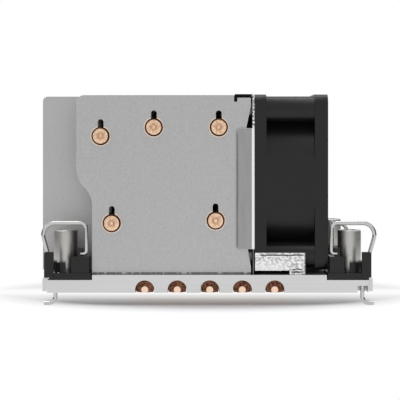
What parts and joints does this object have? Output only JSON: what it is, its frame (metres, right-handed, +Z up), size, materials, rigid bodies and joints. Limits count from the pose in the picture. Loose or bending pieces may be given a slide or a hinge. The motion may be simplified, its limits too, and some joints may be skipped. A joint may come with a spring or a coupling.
{
  "type": "active server processor heatsink",
  "caption": "Side-blown server processor cooler: copper heat pipes through a fin stack, a fan beside it, and a base plate with captive nuts and wire latches.",
  "frame": {"origin": "centre of the base plate's underside, which meets the processor", "axes": "+X along the plate towards the fan, +Y across it towards the heat-pipe bends, +Z up"},
  "size_m": [0.1153, 0.079, 0.0716],
  "materials": {
    "machined_aluminium": "milled",
    "fin_aluminium": "satin",
    "bracket_steel": "bright sheet",
    "fan_plastic": "black, fine texture",
    "board": "satin",
    "dark_steel": "satin",
    "magnet": "dull",
    "bright_steel": "ground",
    "brass": "turned",
    "copper": "bare copper",
    "nut_steel": "satin plated",
    "holder_plastic": "black moulded",
    "spring_wire": "polished wire"
  },
  "bodies": {
    "cooler": {"base_plate": "machined_aluminium", "heat_pipe_one": "copper", "heat_pipe_two": "copper", "heat_pipe_three": "copper", "heat_pipe_four": "copper", "heat_pipe_five": "copper", "front_fin": "fin_aluminium", "narrow_fins": "fin_aluminium", "wide_fins": "fin_aluminium", "rear_fin": "fin_aluminium", "fan_bracket": "bracket_steel", "fan_frame": "fan_plastic", "fan_screws": "dark_steel", "bearing_tube": "brass", "front_bearing": "bright_steel", "rear_bearing": "bright_steel", "motor_board": "board", "stator_core": "dark_steel", "stator_coils": "copper", "nut_holder_front_left": "holder_plastic", "nut_holder_front_right": "holder_plastic", "nut_holder_rear_left": "holder_plastic", "nut_holder_rear_right": "holder_plastic"},
    "fan_rotor": {"rotor": "fan_plastic", "rotor_yoke": "dark_steel", "rotor_magnet": "magnet", "rotor_shaft": "bright_steel"},
    "nut_front_left": {"captive_nut_front_left": "nut_steel"},
    "bail_front_left": {"wire_bail_front_left": "spring_wire"},
    "nut_front_right": {"captive_nut_front_right": "nut_steel"},
    "bail_front_right": {"wire_bail_front_right": "spring_wire"},
    "nut_rear_left": {"captive_nut_rear_left": "nut_steel"},
    "bail_rear_left": {"wire_bail_rear_left": "spring_wire"},
    "nut_rear_right": {"captive_nut_rear_right": "nut_steel"},
    "bail_rear_right": {"wire_bail_rear_right": "spring_wire"}
  },
  "joints": [
    {"name": "rotor_spin", "type": "hinge", "parent": "cooler", "child": "fan_rotor", "pos_m": [0.0285, -0.0065, 0.0373], "axis": [1, 0, 0], "continuous": true},
    {"name": "nut_front_left_turn", "type": "hinge", "parent": "cooler", "child": "nut_front_left", "pos_m": [-0.0488, -0.031, 0.0126], "axis": [0, 0, 1], "continuous": true},
    {"name": "bail_front_left_tilt", "type": "hinge", "parent": "cooler", "child": "bail_front_left", "pos_m": [-0.0488, -0.0374, 0.0132], "axis": [1, 0, 0], "range_deg": [0, 15]},
    {"name": "nut_front_right_turn", "type": "hinge", "parent": "cooler", "child": "nut_front_right", "pos_m": [0.0488, -0.031, 0.0126], "axis": [0, 0, 1], "continuous": true},
    {"name": "bail_front_right_tilt", "type": "hinge", "parent": "cooler", "child": "bail_front_right", "pos_m": [0.0488, -0.0374, 0.0132], "axis": [1, 0, 0], "range_deg": [0, 15]},
    {"name": "nut_rear_left_turn", "type": "hinge", "parent": "cooler", "child": "nut_rear_left", "pos_m": [-0.0488, 0.031, 0.0126], "axis": [0, 0, 1], "continuous": true},
    {"name": "bail_rear_left_tilt", "type": "hinge", "parent": "cooler", "child": "bail_rear_left", "pos_m": [-0.0488, 0.0374, 0.0132], "axis": [-1, 0, 0], "range_deg": [0, 15]},
    {"name": "nut_rear_right_turn", "type": "hinge", "parent": "cooler", "child": "nut_rear_right", "pos_m": [0.0488, 0.031, 0.0126], "axis": [0, 0, 1], "continuous": true},
    {"name": "bail_rear_right_tilt", "type": "hinge", "parent": "cooler", "child": "bail_rear_right", "pos_m": [0.0488, 0.0374, 0.0132], "axis": [-1, 0, 0], "range_deg": [0, 15]}
  ]
}
